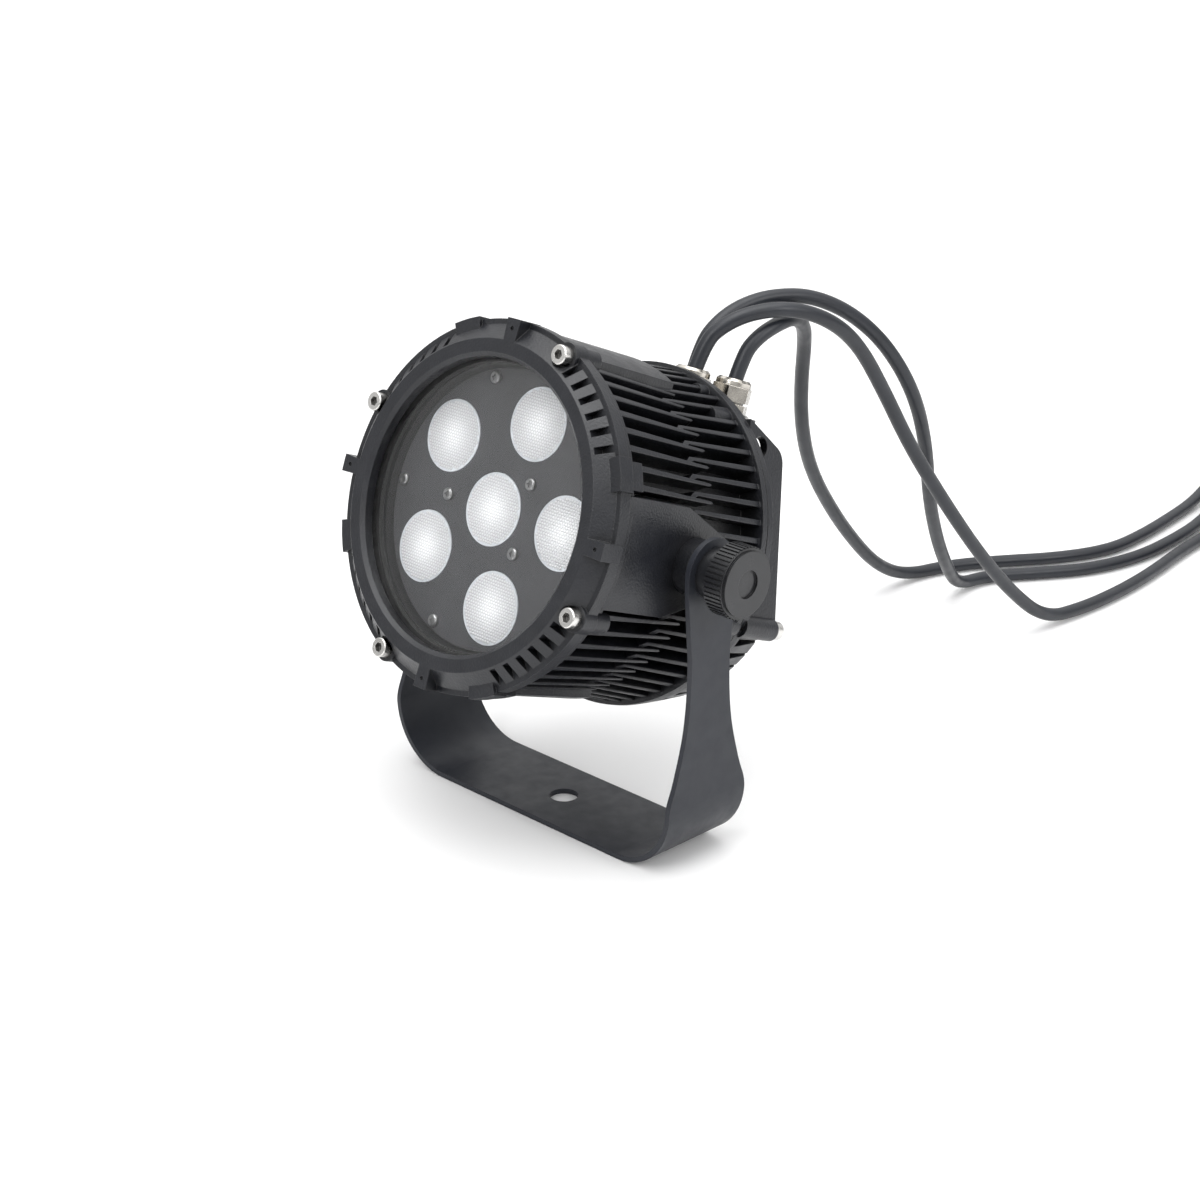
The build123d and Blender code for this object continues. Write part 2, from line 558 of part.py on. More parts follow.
with BuildPart() as terminal_block:
    block(DRIVER_BACK, DRIVER_BACK - 10, 42, 9, [(6, 24)])
    posts(DRIVER_BACK - 10, DRIVER_BACK - 7, 1.8, [(-11 + 6.8 * k, 24) for k in range(6)], mode=Mode.SUBTRACT)
save(terminal_block, "terminal_block")


def driver_screws_at(seat, tip, places):
    """M3 screws whose heads stand behind the seat."""
    posts(seat, seat - 1.9, 2.75, places)
    posts(seat, tip, M3_R, places)
    block(seat - 2, seat - 0.9, 3.4, 0.7, places, mode=Mode.SUBTRACT)


with BuildPart() as driver_screws:
    driver_screws_at(DRIVER_BACK, DRIVER_FRONT + 6, DRIVER_POST_PLACES)
    driver_screws_at(WEB_BACK - 2, WEB_BACK + 5, SUPPLY_SCREW_PLACES)
save(driver_screws, "driver_screws")

# ---------------------------------------------------------------- cable glands
def gland_ring(place, low, high, radius, bore=0.0):
    """A round stage of a gland."""
    with BuildSketch(gland_plane(place, low)) as face:
        Circle(radius)
        if bore:
            Circle(bore, mode=Mode.SUBTRACT)
    extrude(face.sketch, amount=high - low)


def gland_hex(place, low, high, bore):
    """A hexagonal stage of a gland, with one flat facing forward."""
    with BuildSketch(gland_plane(place, low)) as face:
        RegularPolygon(GLAND_HEX / 2, 6, major_radius=False)
        Circle(bore, mode=Mode.SUBTRACT)
    extrude(face.sketch, amount=high - low)


for name, place in GLAND_PLACES.items():
    with BuildPart() as gland_body:
        gland_ring(place, DECK_TOP - 6, DECK_TOP, GLAND_THREAD_R, CABLE_R + 0.6)
        gland_hex(place, DECK_TOP, DECK_TOP + 5, CABLE_R + 0.6)
        gland_ring(place, DECK_TOP + 5, DECK_TOP + 11, GLAND_NECK_R, CABLE_R + 2.0)
    save(gland_body, f"gland_body_{name}")

    with BuildPart() as gland_cap:
        gland_hex(place, DECK_TOP + 6, DECK_TOP + 13, GLAND_NECK_R + 0.1)
        gland_ring(place, DECK_TOP + 13, DECK_TOP + 16.4, 8.4, CABLE_R + 0.5)
        chamfer(gland_cap.edges().filter_by(GeomType.CIRCLE).group_by(Axis(CENTRE, HEAD_UP))[-1], 1.2)
    save(gland_cap, f"gland_cap_{name}")

    with BuildPart() as gland_seal:
        gland_ring(place, DECK_TOP + 5.5, DECK_TOP + 11, CABLE_R + 2.0, CABLE_R)
        gland_ring(place, DECK_TOP + 11, DECK_TOP + 13, GLAND_NECK_R, CABLE_R)
    save(gland_seal, f"gland_seal_{name}")

# ---------------------------------------------------------------- yoke, pivots and knobs
# Half-width of an arm against height, from the bend up to the round end.
ARM_OUTLINE = [
    (YOKE_DEPTH / 2, 30.0), (21.4, 41.8), (18.0, 52.3), (14.8, 64.6), (13.2, 75.0),
    (12.2, 92.0), (12.3, 101.0), (13.3, 112.0), (14.3, 124.5), (ARM_EYE_R, PIVOT_HEIGHT),
]

with BuildPart() as yoke:
    # The strip bent to a U, cut to the arms' outline from the side.
    with BuildSketch(Plane.XZ.offset(-YOKE_DEPTH / 2)) as strip:
        with BuildLine():
            outer = FilletPolyline(
                (-ARM_FACE, PIVOT_HEIGHT + ARM_EYE_R), (-ARM_FACE, 0), (ARM_FACE, 0),
                (ARM_FACE, PIVOT_HEIGHT + ARM_EYE_R), radius=YOKE_BEND,
            )
            inner_x = ARM_FACE - YOKE_STRIP
            inner = FilletPolyline(
                (-inner_x, PIVOT_HEIGHT + ARM_EYE_R), (-inner_x, YOKE_STRIP), (inner_x, YOKE_STRIP),
                (inner_x, PIVOT_HEIGHT + ARM_EYE_R), radius=YOKE_BEND - YOKE_STRIP,
            )
            Line(outer @ 0, inner @ 0)
            Line(outer @ 1, inner @ 1)
        make_face()
    extrude(strip.sketch, amount=YOKE_DEPTH)
    with BuildSketch(Plane.YZ.offset(-ARM_FACE - 1)) as side_view:
        with BuildLine():
            front_edge = Spline(*ARM_OUTLINE, tangents=((0, 1), (0, 1)))
            back_edge = Spline(*[(-y, z) for y, z in ARM_OUTLINE], tangents=((0, 1), (0, 1)))
            ThreePointArc(front_edge @ 1, (0, PIVOT_HEIGHT + ARM_EYE_R), back_edge @ 1)
            Polyline(front_edge @ 0, (YOKE_DEPTH / 2, -1), (-YOKE_DEPTH / 2, -1), back_edge @ 0)
        make_face()
    extrude(side_view.sketch, amount=YOKE_WIDTH + 2, mode=Mode.INTERSECT)
    with BuildSketch(Plane.XY) as base_hole:
        Circle(YOKE_HOLE_R)
    extrude(base_hole.sketch, amount=YOKE_STRIP, mode=Mode.SUBTRACT)
    with BuildSketch(Plane.YZ.offset(-ARM_FACE - 1)) as eye:
        with Locations((0, PIVOT_HEIGHT)):
            Circle(PIVOT_THREAD_R + 0.4)
    extrude(eye.sketch, amount=YOKE_WIDTH + 2, mode=Mode.SUBTRACT)
save(yoke, "yoke")


def pivot_ring(side, start, end, radius, bore=0.0, mode=Mode.ADD):
    """A round stage about the tilt axis, between two distances from the middle."""
    with BuildSketch(Plane(origin=CENTRE + Vector(side * start, 0, 0), z_dir=(side, 0, 0))) as face:
        Circle(radius)
        if bore:
            Circle(bore, mode=Mode.SUBTRACT)
    extrude(face.sketch, amount=end - start, mode=mode)


WASHER_THICK = 1.5
BOSS_END = ARM_FACE - YOKE_STRIP - WASHER_THICK
for name, side in (("left", -1), ("right", 1)):
    with BuildPart() as pivot_boss:
        pivot_ring(side, PAD_X, BOSS_END, 12.5, PIVOT_THREAD_R)
        outer_edges = pivot_boss.edges().filter_by(GeomType.CIRCLE).group_by(Axis.X)[-1 if side > 0 else 0]
        chamfer(outer_edges.sort_by(SortBy.LENGTH)[-1], 0.6)
    save(pivot_boss, f"pivot_boss_{name}")

    with BuildPart() as friction_washer:
        pivot_ring(side, BOSS_END, ARM_FACE - YOKE_STRIP, 12.0, PIVOT_THREAD_R + 0.4)
    save(friction_washer, f"friction_washer_{name}")

    with BuildPart() as knob_stud:
        pivot_ring(side, PAD_X - 7.5, ARM_FACE + 12, PIVOT_R)
        chamfer(knob_stud.edges().filter_by(GeomType.CIRCLE), 0.6)
    save(knob_stud, f"knob_stud_{name}")

    with BuildPart() as knob:
        pivot_ring(side, ARM_FACE, 99.0, 11.4)
        pivot_ring(side, 98.8, 108.4, KNOB_R - 0.5)
        # Knurl: straight ridges round the skirt.
        with BuildSketch(Plane(origin=CENTRE + Vector(side * 98.8, 0, 0), z_dir=(side, 0, 0))) as ridges:
            with PolarLocations(KNOB_R - 0.7, 48):
                Rectangle(1.4, 1.1)
        extrude(ridges.sketch, amount=9.0)
        pivot_ring(side, 108.4, 109.5, 14.4)
        pivot_ring(side, 108.4, 109.5, 6.2, mode=Mode.SUBTRACT)
        pivot_ring(side, ARM_FACE, ARM_FACE + 12, PIVOT_R, mode=Mode.SUBTRACT)
    save(knob, f"knob_{name}")

# ---------------------------------------------------------------- cables and their connectors
# Corners of each cable's route, from its gland up over an arch, down behind the lamp and along the floor.
# The first run leaves the gland square to the deck. The last one lies along the connector.
GLAND_EXIT = DECK_TOP + 17.4
CABLE_ROUTES = {
    "left": [
        (-12.8, 102, 198), (-11, 111, 207.5), (-8, 124, 214), (-3, 141, 217), (5, 161, 215), (14, 182, 204),
        (21, 202, 185), (24, 222, 157), (18, 242, 124), (5, 264, 90), (-9, 292, 56), (-22, 322, 26),
        (-34, 350, 5), (-32, 376, 4), (-15, 400, 4), (4, 430, 4), (12, 468, 4), (10, 508, 4), (5, 546, 4),
        (0, 577, 10), (-3, 606, 10),
    ],
    "centre": [
        (1.4, 88.3, 204.4), (7, 96, 213), (15, 108, 218.5), (25, 124, 219), (31, 144, 211),
        (31, 166, 195), (30, 188, 168), (30, 212, 134), (31, 240, 100), (32, 272, 64), (31, 306, 32),
        (33, 340, 6), (36, 374, 4), (36, 410, 4), (32, 450, 4), (24, 494, 4), (20, 532, 4), (20, 562, 10),
        (23, 590, 10),
    ],
    "right": [
        (13.4, 102, 198), (16, 110, 206.5), (18, 122, 211), (16, 136, 211), (10, 150, 203.5), (0, 163, 189),
        (-12, 176, 165), (-24, 192, 137), (-36, 214, 108), (-47, 242, 80), (-56, 274, 50), (-62, 308, 21),
        (-66, 342, 4), (-58, 374, 4), (-41, 402, 4), (-21, 430, 4), (-7, 464, 4), (-8, 502, 4),
        (-13, 540, 4), (-19, 576, 4), (-24, 606, 10), (-28, 634, 10),
    ],
}


def corner_radii(points):
    """The arc at each corner of a route, using up to 0.45 of the shorter run beside it."""
    radii = []
    for before, corner, after in zip(points, points[1:], points[2:]):
        half_turn = radians((corner - before).get_angle(after - corner)) / 2
        shorter = min((corner - before).length, (after - corner).length)
        radii.append(round(0.45 * shorter / tan(half_turn), 1))
    return radii


for name, place in GLAND_PLACES.items():
    start = gland_plane(place, GLAND_EXIT).origin
    corners = [start] + [Vector(*point) for point in CABLE_ROUTES[name]]
    bends = corner_radii(corners)
    with BuildPart() as cable:
        with BuildLine() as route:
            FilletPolyline(*corners, radius=bends)
        with BuildSketch(Plane(origin=start, z_dir=corners[1] - start)):
            Circle(CABLE_R)
        sweep()
    save(cable, f"cable_{name}")
    cable_length = sum(edge.length for edge in route.edges())
    expected = cable_length * pi * CABLE_R ** 2
    print(f"cable_{name}: length {cable_length:.0f}, volume ratio {cable.part.volume / expected:.4f}")
    print(f"cable_{name}: bend radii {bends}")

    heading = (corners[-1] - corners[-2]).normalized()
    sideways = heading.cross(Vector(0, 0, 1))
    # Local x is the radius, local y runs along the connector away from the cable.
    length_section = Plane(origin=corners[-1], x_dir=sideways, z_dir=sideways.cross(heading))
    connector_axis = Axis(corners[-1], heading)
    with BuildPart() as connector_body:
        with BuildSketch(length_section) as profile:
            with BuildLine():
                Polyline(
                    (0, 0), (4.8, 0), (5.8, 13), (7.6, 14), (8.7, 16), (8.7, 35), (7.4, 36), (7.4, 47),
                    (6.2, 47), (6.2, 40), (0, 40), close=True,
                )
            make_face()
        revolve(axis=connector_axis)
        with BuildSketch(Plane(origin=corners[-1] + heading * 39.5, z_dir=heading)) as pins:
            with PolarLocations(3.1, 3):
                Circle(0.8)
        extrude(pins.sketch, amount=6.5)
    save(connector_body, f"connector_body_{name}")

    with BuildPart() as connector_nut:
        with BuildSketch(length_section) as profile:
            with BuildLine():
                Polyline((7.5, 36.5), (9.3, 36.5), (9.3, 52), (7.9, 52), (7.9, 46), (7.5, 46), close=True)
            make_face()
        revolve(axis=connector_axis)
        with BuildSketch(Plane(origin=corners[-1] + heading * 38, z_dir=heading)) as grip:
            with PolarLocations(9.3, 20):
                Rectangle(1.0, 1.2)
        extrude(grip.sketch, amount=11)
    save(connector_nut, f"connector_nut_{name}")
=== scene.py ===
"""Studio scene for the LED par can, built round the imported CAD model.

Everything is in metres in the model's own frame: +Z up, X along the tilt axis, lamp facing -Y.
"""

import json
from math import cos, exp, radians, sin, sqrt

import bpy
from mathutils import Matrix, Vector


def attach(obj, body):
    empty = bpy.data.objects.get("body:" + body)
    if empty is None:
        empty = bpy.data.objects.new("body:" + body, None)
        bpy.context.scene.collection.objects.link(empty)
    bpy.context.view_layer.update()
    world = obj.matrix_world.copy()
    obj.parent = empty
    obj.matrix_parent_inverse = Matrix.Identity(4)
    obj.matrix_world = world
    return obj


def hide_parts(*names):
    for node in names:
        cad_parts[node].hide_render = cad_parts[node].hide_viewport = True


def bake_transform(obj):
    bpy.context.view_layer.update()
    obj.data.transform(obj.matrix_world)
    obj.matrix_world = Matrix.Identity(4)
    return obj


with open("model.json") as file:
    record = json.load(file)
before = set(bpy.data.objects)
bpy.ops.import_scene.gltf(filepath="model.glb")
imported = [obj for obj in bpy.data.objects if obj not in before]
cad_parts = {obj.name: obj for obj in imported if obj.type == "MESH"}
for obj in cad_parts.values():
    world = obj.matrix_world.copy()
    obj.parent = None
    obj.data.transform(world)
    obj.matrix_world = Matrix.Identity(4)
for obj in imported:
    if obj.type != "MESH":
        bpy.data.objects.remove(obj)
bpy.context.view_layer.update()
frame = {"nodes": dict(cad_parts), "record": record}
nodes = frame["nodes"]

MM = 0.001
TILT = radians(20.7)
PIVOT = Vector((0.0, 0.0, 0.1384))
FORWARD = Vector((0.0, -cos(TILT), sin(TILT)))
HEAD_UP = Vector((0.0, sin(TILT), cos(TILT)))


# ---------------------------------------------------------------- camera, light and floor
CAMERA_LENS = 71.43          # millimetres, as is the sensor's width
SENSOR_WIDTH = 36.0
CAMERA_PLACE = (0.71796, -0.70436, 0.49561)
CAMERA_RIGHT = (0.7097, 0.7045, 0.0073)
CAMERA_BACK = (0.6539, -0.6625, 0.3654)

SURROUND_STRENGTH = 0.9      # of the pale surround, except in reflections
HORIZON_STRENGTH = 0.3       # of the reflected surround, level with the horizon and below it
TOP_STRENGTH = 1.9           # of the reflected surround, at the top height and above it
TOP_HEIGHT = 0.9             # on a scale from 0 at the horizon to 1 overhead
# Name, place, target, width in metres and power in watts of each softbox.
SOFTBOXES = [
    ("overhead", (0.1, -0.1, 1.5), (0, 0, 0.1), 1.2, 9),
    ("front", (0.25, -1.6, 1.3), (0, 0, 0.13), 0.8, 9),
    ("right_side", (1.5, 0.2, 0.9), (0, 0, 0.1), 0.8, 8),
]
EVEN_STRENGTH = 0.55
EVEN_SPREAD = radians(60)
FLOOR_REACH = 12.0
FLOOR_DROP = 0.2 * MM        # how far the floor lies under the model
FLOOR_LIGHTNESS = 0.95


def add_camera():
    """The camera at the reference view."""
    data = bpy.data.cameras.new("camera")
    data.lens = CAMERA_LENS
    data.sensor_width = SENSOR_WIDTH
    camera = bpy.data.objects.new("camera", data)
    bpy.context.scene.collection.objects.link(camera)
    right = Vector(CAMERA_RIGHT).normalized()
    back = Vector(CAMERA_BACK).normalized()
    up = back.cross(right).normalized()
    right = up.cross(back)
    axes = Matrix((right, up, back)).transposed().to_4x4()
    camera.matrix_world = Matrix.Translation(CAMERA_PLACE) @ axes
    bpy.context.scene.camera = camera


def add_area_light(name, place, target, size, power):
    """A square softbox at a place, aimed at a target."""
    data = bpy.data.lights.new(name, "AREA")
    data.size = size
    data.energy = power
    light = bpy.data.objects.new(name, data)
    bpy.context.scene.collection.objects.link(light)
    light.location = place
    light.rotation_euler = (Vector(target) - Vector(place)).to_track_quat("-Z", "Y").to_euler()


def add_surround():
    """An even pale surround, which reflections see as darker at the horizon and brighter at the top."""
    world = bpy.data.worlds.new("surround")
    world.use_nodes = True
    tree = world.node_tree
    background = tree.nodes["Background"]
    background.inputs["Color"].default_value = (1.0, 1.0, 1.0, 1.0)
    place = tree.nodes.new("ShaderNodeTexCoord")
    split = tree.nodes.new("ShaderNodeSeparateXYZ")
    tree.links.new(place.outputs["Generated"], split.inputs["Vector"])
    height = tree.nodes.new("ShaderNodeMapRange")
    height.inputs["From Min"].default_value = 0.0
    height.inputs["From Max"].default_value = TOP_HEIGHT
    height.inputs["To Min"].default_value = HORIZON_STRENGTH
    height.inputs["To Max"].default_value = TOP_STRENGTH
    tree.links.new(split.outputs["Z"], height.inputs["Value"])
    path = tree.nodes.new("ShaderNodeLightPath")
    strength = tree.nodes.new("ShaderNodeMix")
    strength.inputs["A"].default_value = SURROUND_STRENGTH
    tree.links.new(height.outputs["Result"], strength.inputs["B"])
    tree.links.new(path.outputs["Is Glossy Ray"], strength.inputs["Factor"])
    tree.links.new(strength.outputs["Result"], background.inputs["Strength"])
    bpy.context.scene.world = world


def add_even_light():
    """A weak, widely spread light from straight above."""
    data = bpy.data.lights.new("even_top", "SUN")
    data.energy = EVEN_STRENGTH
    data.angle = EVEN_SPREAD
    light = bpy.data.objects.new("even_top", data)
    bpy.context.scene.collection.objects.link(light)


def add_floor():
    """A plain pale floor just under the model."""
    mesh = bpy.data.meshes.new("floor")
    corners = [(-1, -1), (1, -1), (1, 1), (-1, 1)]
    points = [(x * FLOOR_REACH, y * FLOOR_REACH, -FLOOR_DROP) for x, y in corners]
    mesh.from_pydata(points, [], [(0, 1, 2, 3)])
    floor = bpy.data.objects.new("floor", mesh)
    bpy.context.scene.collection.objects.link(floor)
    paint = bpy.data.materials.new("floor_white")
    paint.use_nodes = True
    shader = paint.node_tree.nodes["Principled BSDF"]
    shader.inputs["Base Color"].default_value = (FLOOR_LIGHTNESS, FLOOR_LIGHTNESS, FLOOR_LIGHTNESS, 1)
    shader.inputs["Roughness"].default_value = 0.6
    mesh.materials.append(paint)


def add_studio():
    """The surround, the softboxes, the even light and the floor."""
    add_surround()
    for softbox in SOFTBOXES:
        add_area_light(*softbox)
    add_even_light()
    add_floor()
    bpy.context.scene.view_settings.view_transform = "Standard"


# ---------------------------------------------------------------- materials
NOISE_LOW, NOISE_HIGH = 0.3, 0.7       # most of a noise texture's values lie between these
GLOSS_SCALE = 2.3                      # patches of gloss are this many times finer than those of colour
GRAIN_DETAIL = 2.0
# Samples for the painted shade near facing surfaces.
PAINTED_SHADE_SAMPLES = 6
EDGE_SAMPLES = 4
GLASS_TINT = (0.985, 0.99, 0.99, 1)
# Darkest and lightest colours of the lens faces' painted glow and painted shade.
PAINTED_LENS_DARK, PAINTED_LENS_LIGHT = (0.22, 0.22, 0.24), (0.93, 0.93, 0.94)


def value_noise(tree, scale, detail=3.0):
    """A noise texture, with its scale in features per metre."""
    place = tree.nodes.new("ShaderNodeTexCoord")
    noise = tree.nodes.new("ShaderNodeTexNoise")
    noise.inputs["Scale"].default_value = scale
    noise.inputs["Detail"].default_value = detail
    tree.links.new(place.outputs["Object"], noise.inputs["Vector"])
    return noise.outputs["Fac"]


def mapped(tree, source, low, high):
    """A noise value spread from low to high."""
    spread = tree.nodes.new("ShaderNodeMapRange")
    spread.inputs["From Min"].default_value = NOISE_LOW
    spread.inputs["From Max"].default_value = NOISE_HIGH
    spread.inputs["To Min"].default_value = low
    spread.inputs["To Max"].default_value = high
    tree.links.new(source, spread.inputs["Value"])
    return spread.outputs["Result"]


def colour_mix(tree, source, dark, light):
    """A colour between two, led by a value from 0 to 1."""
    mix = tree.nodes.new("ShaderNodeMix")
    mix.data_type = "RGBA"
    mix.inputs["A"].default_value = (*dark, 1)
    mix.inputs["B"].default_value = (*light, 1)
    tree.links.new(source, mix.inputs["Factor"])
    return mix.outputs["Result"]


def finish_material(name, colour, roughness, metallic=0.0, patches=0.15, patch_scale=60.0,
                    grain=2500.0, depth=0.00002, edge=0.0003, uneven=0.06, specular=0.5, painted_shade_reach=0.0):
    """A painted, moulded or metal finish.

    Its colour is patchy, its gloss uneven, its surface grained and its edges rounded. Within a given
    distance of a facing surface its colour is darkened: painted shade in recesses, gaps and sockets.
    """
    material = bpy.data.materials.new(name)
    material.use_nodes = True
    tree = material.node_tree
    shader = tree.nodes["Principled BSDF"]
    shader.inputs["Metallic"].default_value = metallic
    shader.inputs["Specular IOR Level"].default_value = specular
    darker = [c * (1 - patches) for c in colour]
    lighter = [min(1.0, c * (1 + patches)) for c in colour]
    patch = mapped(tree, value_noise(tree, patch_scale), 0.0, 1.0)
    tint = colour_mix(tree, patch, darker, lighter)
    # Painted shade: ambient occlusion darkens the colour near facing surfaces, in recesses, gaps and sockets.
    if painted_shade_reach:
        shade = tree.nodes.new("ShaderNodeAmbientOcclusion")
        shade.samples = PAINTED_SHADE_SAMPLES
        shade.inputs["Distance"].default_value = painted_shade_reach
        tree.links.new(tint, shade.inputs["Color"])
        tint = shade.outputs["Color"]
    tree.links.new(tint, shader.inputs["Base Color"])
    gloss = mapped(tree, value_noise(tree, patch_scale * GLOSS_SCALE), roughness - uneven, roughness + uneven)
    tree.links.new(gloss, shader.inputs["Roughness"])
    bump = tree.nodes.new("ShaderNodeBump")
    bump.inputs["Distance"].default_value = depth
    bump.inputs["Strength"].default_value = 1.0
    tree.links.new(value_noise(tree, grain, GRAIN_DETAIL), bump.inputs["Height"])
    if edge:
        rounded = tree.nodes.new("ShaderNodeBevel")
        rounded.samples = EDGE_SAMPLES
        rounded.inputs["Radius"].default_value = edge
        tree.links.new(rounded.outputs["Normal"], bump.inputs["Normal"])
    tree.links.new(bump.outputs["Normal"], shader.inputs["Normal"])
    return material


def glass_material():
    """Clear tempered glass that lets the studio's light through to what it covers."""
    material = bpy.data.materials.new("front_glass")
    material.use_nodes = True
    tree = material.node_tree
    shader = tree.nodes["Principled BSDF"]
    shader.inputs["Base Color"].default_value = GLASS_TINT
    shader.inputs["Roughness"].default_value = 0.0
    shader.inputs["IOR"].default_value = 1.5
    shader.inputs["Transmission Weight"].default_value = 1.0
    clear = tree.nodes.new("ShaderNodeBsdfTransparent")
    clear.inputs["Color"].default_value = GLASS_TINT
    path = tree.nodes.new("ShaderNodeLightPath")
    mix = tree.nodes.new("ShaderNodeMixShader")
    tree.links.new(path.outputs["Is Shadow Ray"], mix.inputs["Fac"])
    tree.links.new(shader.outputs["BSDF"], mix.inputs[1])
    tree.links.new(clear.outputs["BSDF"], mix.inputs[2])
    tree.links.new(mix.outputs["Shader"], tree.nodes["Material Output"].inputs["Surface"])
    return material


def lens_material():
    """Frosted acrylic with a painted glow: near white over the emitter, greyer toward the rim of each lens.
    """
    material = bpy.data.materials.new("lens_acrylic_painted_glow")
    material.use_nodes = True
    tree = material.node_tree
    shader = tree.nodes["Principled BSDF"]
    shader.inputs["Roughness"].default_value = 0.18
    shader.inputs["Coat Weight"].default_value = 0.4
    glow = tree.nodes.new("ShaderNodeAttribute")
    glow.attribute_name = "painted_centre_glow"
    colour = colour_mix(tree, glow.outputs["Fac"], PAINTED_LENS_DARK, PAINTED_LENS_LIGHT)
    tree.links.new(colour, shader.inputs["Base Color"])
    return material


# Finishes given a reach for painted shade are darkened in their recesses: the fin gaps, the screw sockets and
# the knob's grooves.
FINISHES = {
    "black_casting": dict(
        colour=(0.0095, 0.0103, 0.0135), roughness=0.34, grain=1000, depth=0.00016, edge=0.0005,
        specular=0.45, painted_shade_reach=0.02,
    ),
    "grey_powder_coat": dict(
        colour=(0.016, 0.018, 0.024), roughness=0.44, patches=0.06, grain=3200, depth=0.00002,
        specular=0.35,
    ),
    "dark_satin_paint": dict(
        colour=(0.036, 0.036, 0.040), roughness=0.45, grain=400, depth=0.000002, edge=0, specular=0.4,
    ),
    "clear_acrylic": dict(colour=(0.55, 0.57, 0.60), roughness=0.25, edge=0),
    "black_rubber": dict(colour=(0.018, 0.018, 0.018), roughness=0.7, edge=0),
    "grey_silicone": dict(colour=(0.42, 0.44, 0.45), roughness=0.7, edge=0),
    "cable_rubber": dict(
        colour=(0.011, 0.013, 0.018), roughness=0.38, grain=1500, depth=0.00003, edge=0, specular=0.42,
    ),
    "nickel_plate": dict(
        colour=(0.56, 0.53, 0.48), roughness=0.16, metallic=1.0, patches=0.05, uneven=0.05, painted_shade_reach=0.004,
    ),
    "stainless_steel": dict(
        colour=(0.66, 0.65, 0.63), roughness=0.27, metallic=1.0, patches=0.06, painted_shade_reach=0.004,
    ),
    "dark_zinc": dict(colour=(0.30, 0.30, 0.30), roughness=0.35, metallic=1.0),
    "black_knob_plastic": dict(
        colour=(0.0095, 0.010, 0.012), roughness=0.32, grain=2200, depth=0.00003, specular=0.5,
        painted_shade_reach=0.006,
    ),
    "washer_nylon": dict(colour=(0.03, 0.03, 0.03), roughness=0.5, edge=0),
    "white_metal_board": dict(colour=(0.78, 0.78, 0.76), roughness=0.4, edge=0),
    "yellow_phosphor": dict(colour=(0.85, 0.7, 0.15), roughness=0.3, edge=0),
    "black_holder_plastic": dict(colour=(0.02, 0.02, 0.02), roughness=0.55, edge=0),
    "bare_aluminium": dict(colour=(0.72, 0.72, 0.73), roughness=0.35, metallic=1.0, edge=0),
    "green_circuit_board": dict(colour=(0.03, 0.2, 0.08), roughness=0.35, edge=0),
    "black_component": dict(colour=(0.03, 0.03, 0.03), roughness=0.45, edge=0),
    "green_terminal": dict(colour=(0.05, 0.35, 0.12), roughness=0.45, edge=0),
    "black_vent_plastic": dict(colour=(0.02, 0.02, 0.02), roughness=0.5),
    "black_connector_plastic": dict(colour=(0.018, 0.018, 0.02), roughness=0.45, grain=2000),
}


def paint_nodes():
    """Give every CAD node its slot's finish."""
    materials = {name: finish_material(name, **look) for name, look in FINISHES.items()}
    materials["front_glass"] = glass_material()
    for row in frame["record"]["subparts"]:
        mesh = nodes[row["node"]].data
        mesh.materials.clear()
        mesh.materials.append(materials[row["material_slot"]])
    return materials


# ---------------------------------------------------------------- honeycomb lens faces, with painted glow and shade
LENS_FACE = 44.6 * MM       # front of the lenses, forward of the tilt axis
LENS_EDGE = 16.0 * MM        # radius of a lens's sheet of domes
LENS_CIRCLE = 43.1 * MM      # radius of the circle that the outer lenses stand on
LENS_STEP = 72               # degrees between one outer lens and the next
PAINTED_GLOW_REACH = 8.5 * MM         # how far the painted glow in the middle of each lens reaches
PAINTED_RIM_LEVEL = 0.5              # how light the painted glow leaves the rim, where the middle is 1
CELL_BORDER_PAINTED_SHADE = 0.5           # how light the painted shade leaves a cell's border, in the valley between domes, where the rest of the cell is 1
CELL_PITCH = 1.5 * MM
CELL_RISE = 0.45 * MM
# Share of a cell's reach, and of its rise, at each ring of points from its border to near its middle.
CELL_RINGS = ((1.0, 0.0), (0.66, 0.62), (0.33, 0.92))
SIDES = 6


def on_front(middle, x, y, forward=0.0):
    """A point across, up and forward of a place on the tilted lamp's front."""
    return middle + Vector((x, 0, 0)) + HEAD_UP * y + FORWARD * forward


def painted_lens_glow(x, y):
    """The painted glow of a lens face at a place from its middle: brightest over the emitter."""
    return PAINTED_RIM_LEVEL + (1 - PAINTED_RIM_LEVEL) * exp(-(x * x + y * y) / PAINTED_GLOW_REACH ** 2)


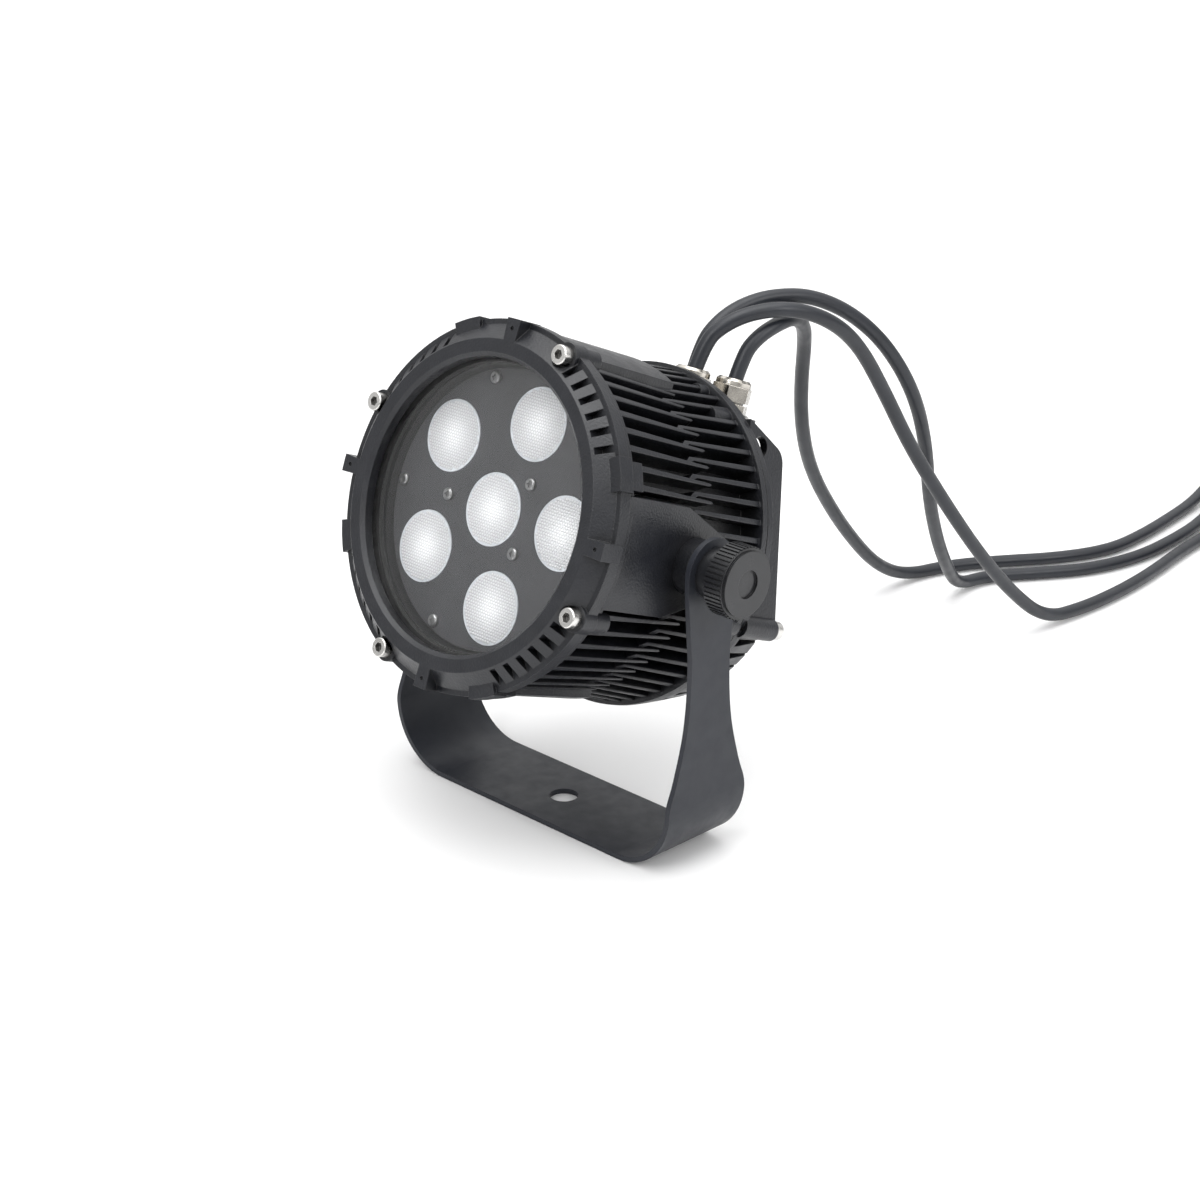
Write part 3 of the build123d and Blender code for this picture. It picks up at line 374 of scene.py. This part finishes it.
def lens_cells(middle):
    """Points and faces of a lens's domed six-sided cells, and the painted glow and shade at each point."""
    points, faces, painted_lightness = [], [], []
    corner_reach = CELL_PITCH / sqrt(3)
    rows = int(LENS_EDGE / (CELL_PITCH * sqrt(3) / 2)) + 1
    columns = int(LENS_EDGE / CELL_PITCH) + 1
    for row in range(-rows, rows + 1):
        for column in range(-columns - 1, columns + 1):
            x = (column + 0.5 * (row % 2)) * CELL_PITCH
            y = row * CELL_PITCH * sqrt(3) / 2
            if sqrt(x * x + y * y) > LENS_EDGE - 0.6 * CELL_PITCH:
                continue
            first = len(points)
            for share, rise in CELL_RINGS:
                for k in range(SIDES):
                    angle = radians(30 + 60 * k)
                    along = x + share * corner_reach * cos(angle)
                    upward = y + share * corner_reach * sin(angle)
                    points.append(on_front(middle, along, upward, CELL_RISE * rise))
                    # Painted shade: each cell's border ring, in the valley between domes, is darker.
                    painted_lightness.append(painted_lens_glow(along, upward) * (CELL_BORDER_PAINTED_SHADE if share == 1.0 else 1.0))
            points.append(on_front(middle, x, y, CELL_RISE))
            painted_lightness.append(painted_lens_glow(x, y))
            for outer in (first, first + SIDES):
                inner = outer + SIDES
                for k in range(SIDES):
                    after = (k + 1) % SIDES
                    faces.append((outer + k, outer + after, inner + after, inner + k))
            innermost, top = first + 2 * SIDES, first + 3 * SIDES
            for k in range(SIDES):
                faces.append((innermost + k, innermost + (k + 1) % SIDES, top))
    return points, faces, painted_lightness


def add_lens_faces():
    """A sheet of small domes over each lens: the first in the middle, the others round it."""
    acrylic = lens_material()
    for number in range(1, 7):
        turn = radians(LENS_STEP * (number - 2))
        reach = LENS_CIRCLE if number > 1 else 0.0
        middle = on_front(PIVOT, reach * cos(turn), reach * sin(turn), LENS_FACE)
        points, faces, painted_lightness = lens_cells(middle)
        mesh = bpy.data.meshes.new(f"lens_face_{number}")
        mesh.from_pydata(points, [], faces)
        # Each point carries its painted glow and shade, which the lens material turns into colour.
        glow = mesh.attributes.new("painted_centre_glow", "FLOAT", "POINT")
        glow.data.foreach_set("value", painted_lightness)
        mesh.materials.append(acrylic)
        for face in mesh.polygons:
            face.use_smooth = True
        piece = bpy.data.objects.new(f"lens_face_{number}", mesh)
        bpy.context.scene.collection.objects.link(piece)
        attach(piece, "head")


# ---------------------------------------------------------------- cables
CABLE_DIAMETER = 7.2 * MM
# Each gland's place in millimetres, across and forward along the lamp's axis.
GLAND_PLACES = {"left": (-13.0, -74.0), "centre": (0.0, -59.0), "right": (13.0, -74.0)}
# Corners of each cable's route in millimetres, as in the part's source, after its start in the gland.
CABLE_ROUTES = {
    "left": [
        (-12.8, 102, 198), (-11, 111, 207.5), (-8, 124, 214), (-3, 141, 217), (5, 161, 215), (14, 182, 204),
        (21, 202, 185), (24, 222, 157), (18, 242, 124), (5, 264, 90), (-9, 292, 56), (-22, 322, 26),
        (-34, 350, 5), (-32, 376, 4), (-15, 400, 4), (4, 430, 4), (12, 468, 4), (10, 508, 4), (5, 546, 4),
        (0, 577, 10), (-3, 606, 10),
    ],
    "centre": [
        (1.4, 88.3, 204.4), (7, 96, 213), (15, 108, 218.5), (25, 124, 219), (31, 144, 211),
        (31, 166, 195), (30, 188, 168), (30, 212, 134), (31, 240, 100), (32, 272, 64), (31, 306, 32),
        (33, 340, 6), (36, 374, 4), (36, 410, 4), (32, 450, 4), (24, 494, 4), (20, 532, 4), (20, 562, 10),
        (23, 590, 10),
    ],
    "right": [
        (13.4, 102, 198), (16, 110, 206.5), (18, 122, 211), (16, 136, 211), (10, 150, 203.5), (0, 163, 189),
        (-12, 176, 165), (-24, 192, 137), (-36, 214, 108), (-47, 242, 80), (-56, 274, 50), (-62, 308, 21),
        (-66, 342, 4), (-58, 374, 4), (-41, 402, 4), (-21, 430, 4), (-7, 464, 4), (-8, 502, 4),
        (-13, 540, 4), (-19, 576, 4), (-24, 606, 10), (-28, 634, 10),
    ],
}
GLAND_EXIT = 82.0 * MM      # just over the gland's cap, measured up from the lamp's axis
GRIP_DEPTH = 11.0 * MM      # how far under that the sheath starts, down inside the cap


def route_curve(name, points, thickness):
    """A smooth curve led by the route's corners."""
    data = bpy.data.curves.new(name, "CURVE")
    data.dimensions = "3D"
    data.resolution_u = 10
    data.bevel_depth = thickness
    data.bevel_resolution = 5
    data.use_fill_caps = True
    spline = data.splines.new("NURBS")
    spline.points.add(len(points) - 1)
    for point, place in zip(spline.points, points):
        point.co = (*place, 1.0)
    spline.order_u = 3
    spline.use_endpoint_u = True
    return bpy.data.objects.new(name, data)


def add_cables(rubber):
    """Each cable's sheath: a tube from inside its gland's cap along its route to the floor, in place of the
    CAD cable.
    """
    for name, (across, along) in GLAND_PLACES.items():
        gland = PIVOT + Vector((across * MM, 0, 0)) + FORWARD * along * MM
        leaving = gland + HEAD_UP * GLAND_EXIT
        points = [leaving - HEAD_UP * GRIP_DEPTH] + [Vector(p) * MM for p in CABLE_ROUTES[name]]
        line = route_curve(f"cable_line_{name}", points, 0.0)
        tube = route_curve(f"cable_tube_{name}", points, CABLE_DIAMETER / 2)
        for curve in (line, tube):
            bpy.context.scene.collection.objects.link(curve)
        bpy.context.view_layer.update()
        path = [tuple(v.co) for v in bpy.data.meshes.new_from_object(line).vertices]
        mesh = bpy.data.meshes.new_from_object(tube)
        for curve in (line, tube):
            bpy.data.objects.remove(curve)
        mesh.materials.clear()
        mesh.materials.append(rubber)
        for face in mesh.polygons:
            face.use_smooth = True
        sheath = bpy.data.objects.new(f"cable_sheath_{name}", mesh)
        bpy.context.scene.collection.objects.link(sheath)
        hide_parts(f"cable_{name}")
        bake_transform(sheath)


add_camera()
add_studio()
finishes = paint_nodes()
add_lens_faces()
add_cables(finishes["cable_rubber"])
